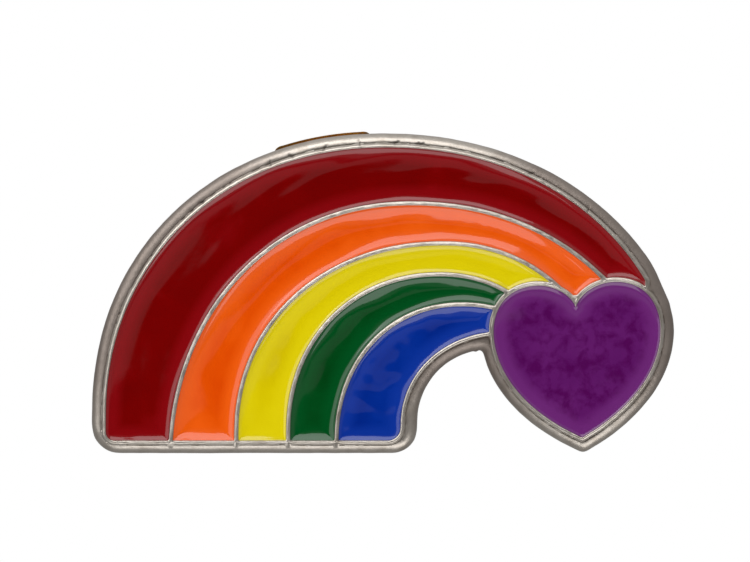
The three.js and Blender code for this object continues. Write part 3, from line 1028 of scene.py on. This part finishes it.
# Each colour's dip, then its deep, middle and thin tints. The thin tint is also a painted highlight
# along each fill's edge.
ENAMELS = {
    "red": (0.05, srgb(97, 0, 0), srgb(104, 0, 0), srgb(122, 6, 12)),
    "orange": (0.14, srgb(201, 64, 0), srgb(208, 72, 1), srgb(220, 86, 14)),
    "yellow": (0.045, srgb(192, 172, 0), srgb(198, 179, 0), srgb(204, 187, 8)),
    "green": (0.13, srgb(0, 54, 14), srgb(0, 61, 19), srgb(0, 70, 26)),
    "blue": (0.07, srgb(0, 31, 118), srgb(1, 37, 127), srgb(12, 46, 139)),
    "heart": (0.015, srgb(79, 16, 85), srgb(86, 22, 92), srgb(98, 36, 105)),
}
HEART_MOTTLE = srgb(66, 0, 66)
FIRST_FILL_SEED = 20


def colour_of(loop):
    """The colour whose CAD fill lies in the middle of a cell's loop."""
    middle = (loop.min(axis=0) + loop.max(axis=0)) / 2

    def miss(colour):
        low, high = box_mm("enamel_" + colour)
        return abs((low.x + high.x) / 2 - middle[0]) + abs((low.z + high.z) / 2 - middle[1])

    return min(ENAMELS, key=miss)


loops = flat_loops("pin_body", CELL_FLOOR_DEPTH)
cells = {colour_of(loop): smooth_outline(loop) for loop in loops}
outer_loop = max(flat_loops("pin_body", 0), key=area_of)
silhouette = cast_edge(eased(smooth_outline(outer_loop), CORNER_EASE))

body_piece = build_body(silhouette, [cells[colour] for colour in ENAMELS])
wear(body_piece, nickel(), "badge", "nickel_plate", "pin_body")

for seed, (colour, (dip, *tints)) in enumerate(ENAMELS.items(), FIRST_FILL_SEED):
    heart = colour == "heart"
    fill = build_enamel("enamel_fill_" + colour, cells[colour], seed, dip, heart)
    mottle = HEART_MOTTLE if heart else None
    slot_name = "purple_enamel" if heart else colour + "_enamel"
    wear(fill, enamel("enamel_" + colour, *tints, mottle), "badge", slot_name, "enamel_" + colour)

wear(build_post(), steel(), "badge", "post_steel", "post")
wear(build_solder(), solder(), "badge", "solder", "solder_fillet")
brass_finish = brass()
wear(build_cup(), brass_finish, "cup", "brass", "clutch_cup")
plate = softened("clutch_plate", "spring_plate", bevel=0.05)
wear(plate, brass_finish, "spring", "brass", "clutch_plate")
for side in ("upper", "lower"):
    wing = softened("wing_" + side, "spring_wing_" + side, bevel=0.07)
    wear(wing, brass_finish, side + "_wing", "brass", "wing_" + side)

# ---- Stage, lights and camera ----------------------------------------------------------------

low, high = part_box("pin_body")
centre = (low + high) / 2
FLOOR_RADIUS_M = 0.27
FLOOR_DROP_M = 0.028
FLOOR_SIDES = 96
rim_points = []
for i in range(FLOOR_SIDES):
    angle = math.tau * i / FLOOR_SIDES
    rim_points.append((FLOOR_RADIUS_M * math.cos(angle), FLOOR_RADIUS_M * math.sin(angle), 0))
floor_mesh = bpy.data.meshes.new("floor")
floor_mesh.from_pydata(rim_points, [], [range(FLOOR_SIDES)])
floor = bpy.data.objects.new("floor", floor_mesh)
floor.location = (centre.x, centre.y, low.z - FLOOR_DROP_M)
# The lower light shines up past the floor, on to the object and into its reflections.
floor.visible_glossy = False
floor.visible_shadow = False
bpy.context.scene.collection.objects.link(floor)
paper = Finish("white_paper", metallic=0.0)
relief = paper.bump(paper.noise(0.3, detail=2), distance=0.05, strength=0.1)
white = paper.finish(colour=(0.86, 0.86, 0.86, 1), roughness=0.9, normal=relief)
floor_mesh.materials.append(white)


def softbox(name, azimuth, elevation, distance, width, height, radiance):
    """A soft light that faces the object. Its distance and size are in metres. Azimuth 0 is in
    front of the face, and 90 is to the right of someone looking at the face."""
    a, e = math.radians(azimuth), math.radians(elevation)
    way = Vector((math.sin(a) * math.cos(e), -math.cos(a) * math.cos(e), math.sin(e)))
    light = bpy.data.lights.new(name, "AREA")
    light.shape = "RECTANGLE"
    light.size = width
    light.size_y = height
    light.energy = radiance * math.pi * width * height
    lamp = bpy.data.objects.new(name, light)
    lamp.location = centre + way * distance
    lamp.rotation_euler = way.to_track_quat("Z", "Y").to_euler()
    lamp.visible_camera = False
    bpy.context.scene.collection.objects.link(lamp)


softbox("upper_box", -18, 46, distance=0.6, width=0.72, height=0.36, radiance=2.6)
softbox("lower_box", 16, -42, distance=0.6, width=0.64, height=0.42, radiance=2.0)
softbox("left_box", -50, 14, distance=0.7, width=0.45, height=0.6, radiance=1.35)

world = bpy.data.worlds.new("studio")
bpy.context.scene.world = world
world.use_nodes = True
tree = world.node_tree
room = tree.nodes["Background"]
wall = tree.nodes.new("ShaderNodeBackground")
wall.inputs["Color"].default_value = (1, 1, 1, 1)
wall.inputs["Strength"].default_value = 1.0
path = tree.nodes.new("ShaderNodeLightPath")
either = tree.nodes.new("ShaderNodeMixShader")
tree.links.new(path.outputs["Is Camera Ray"], either.inputs[0])
tree.links.new(room.outputs[0], either.inputs[1])
tree.links.new(wall.outputs[0], either.inputs[2])
tree.links.new(either.outputs[0], tree.nodes["World Output"].inputs["Surface"])

# What the object mirrors is a room that only reflections and indirect light see. To the sides and
# behind, it gets paler with height above eye level. Ahead of the face it is dark at eye level and a
# little above, where the fills would mirror it flatly, with a pale band and a dark line below.
ROOM_BESIDE = ((-1.0, 0.4), (0.0, 0.34), (0.5, 0.5), (1.0, 0.8))
ROOM_AHEAD = (
    (-0.9, 0.4),
    (-0.28, 0.24),
    (-0.25, 0.03),
    (-0.2, 0.03),
    (-0.18, 0.26),
    (-0.06, 0.26),
    (-0.045, 0.02),
    (0.3, 0.02),
    (0.55, 0.3),
    (1.0, 0.7),
)
SIDEWAYS = ((-0.9, 0.0), (-0.72, 1.0))  # 0 straight ahead of the face, 1 to the sides and behind
way = tree.nodes.new("ShaderNodeTexCoord").outputs["Generated"]
parts = tree.nodes.new("ShaderNodeSeparateXYZ")
tree.links.new(way, parts.inputs[0])


def room_ramp(value, stops):
    """Grey that follows one coordinate of the direction, which goes from -1 to 1."""
    span = tree.nodes.new("ShaderNodeMapRange")
    span.inputs["From Min"].default_value = -1
    span.inputs["From Max"].default_value = 1
    tree.links.new(value, span.inputs["Value"])
    ramp = tree.nodes.new("ShaderNodeValToRGB")
    elements = ramp.color_ramp.elements
    while len(elements) < len(stops):
        elements.new(0.5)
    for element, (position, grey) in zip(elements, stops):
        element.position = (position + 1) / 2
        element.color = (grey, grey, grey, 1)
    tree.links.new(span.outputs["Result"], ramp.inputs["Fac"])
    return ramp.outputs["Color"]


def room_mix(factor, a, b):
    mixer = tree.nodes.new("ShaderNodeMix")
    mixer.data_type = "RGBA"
    tree.links.new(factor, mixer.inputs[0])
    tree.links.new(a, mixer.inputs[6])
    tree.links.new(b, mixer.inputs[7])
    return mixer.outputs[2]


ahead = room_ramp(parts.outputs["Z"], ROOM_AHEAD)
beside = room_ramp(parts.outputs["Z"], ROOM_BESIDE)
sideways = room_ramp(parts.outputs["Y"], SIDEWAYS)
tree.links.new(room_mix(sideways, ahead, beside), room.inputs["Color"])

scene = bpy.context.scene
scene.view_settings.view_transform = "Standard"

# Straight on to the face, from far enough away that the back hardly shrinks.
LENS_MM = 300
SENSOR_MM = 36
VIEW_WIDTH_M = 0.04118
SHIFT_RIGHT_M = -0.000436  # of the camera, so that the badge stands in the picture as in the photo
SHIFT_UP_M = 0.00068
camera = bpy.data.objects.new("camera", bpy.data.cameras.new("camera"))
camera.data.lens = LENS_MM
camera.data.sensor_width = SENSOR_MM
camera.data.clip_end = 10
distance = VIEW_WIDTH_M * LENS_MM / SENSOR_MM
camera.location = (centre.x + SHIFT_RIGHT_M, low.y - distance, centre.z + SHIFT_UP_M)
camera.rotation_euler = (math.pi / 2, 0, 0)
scene.collection.objects.link(camera)
scene.camera = camera
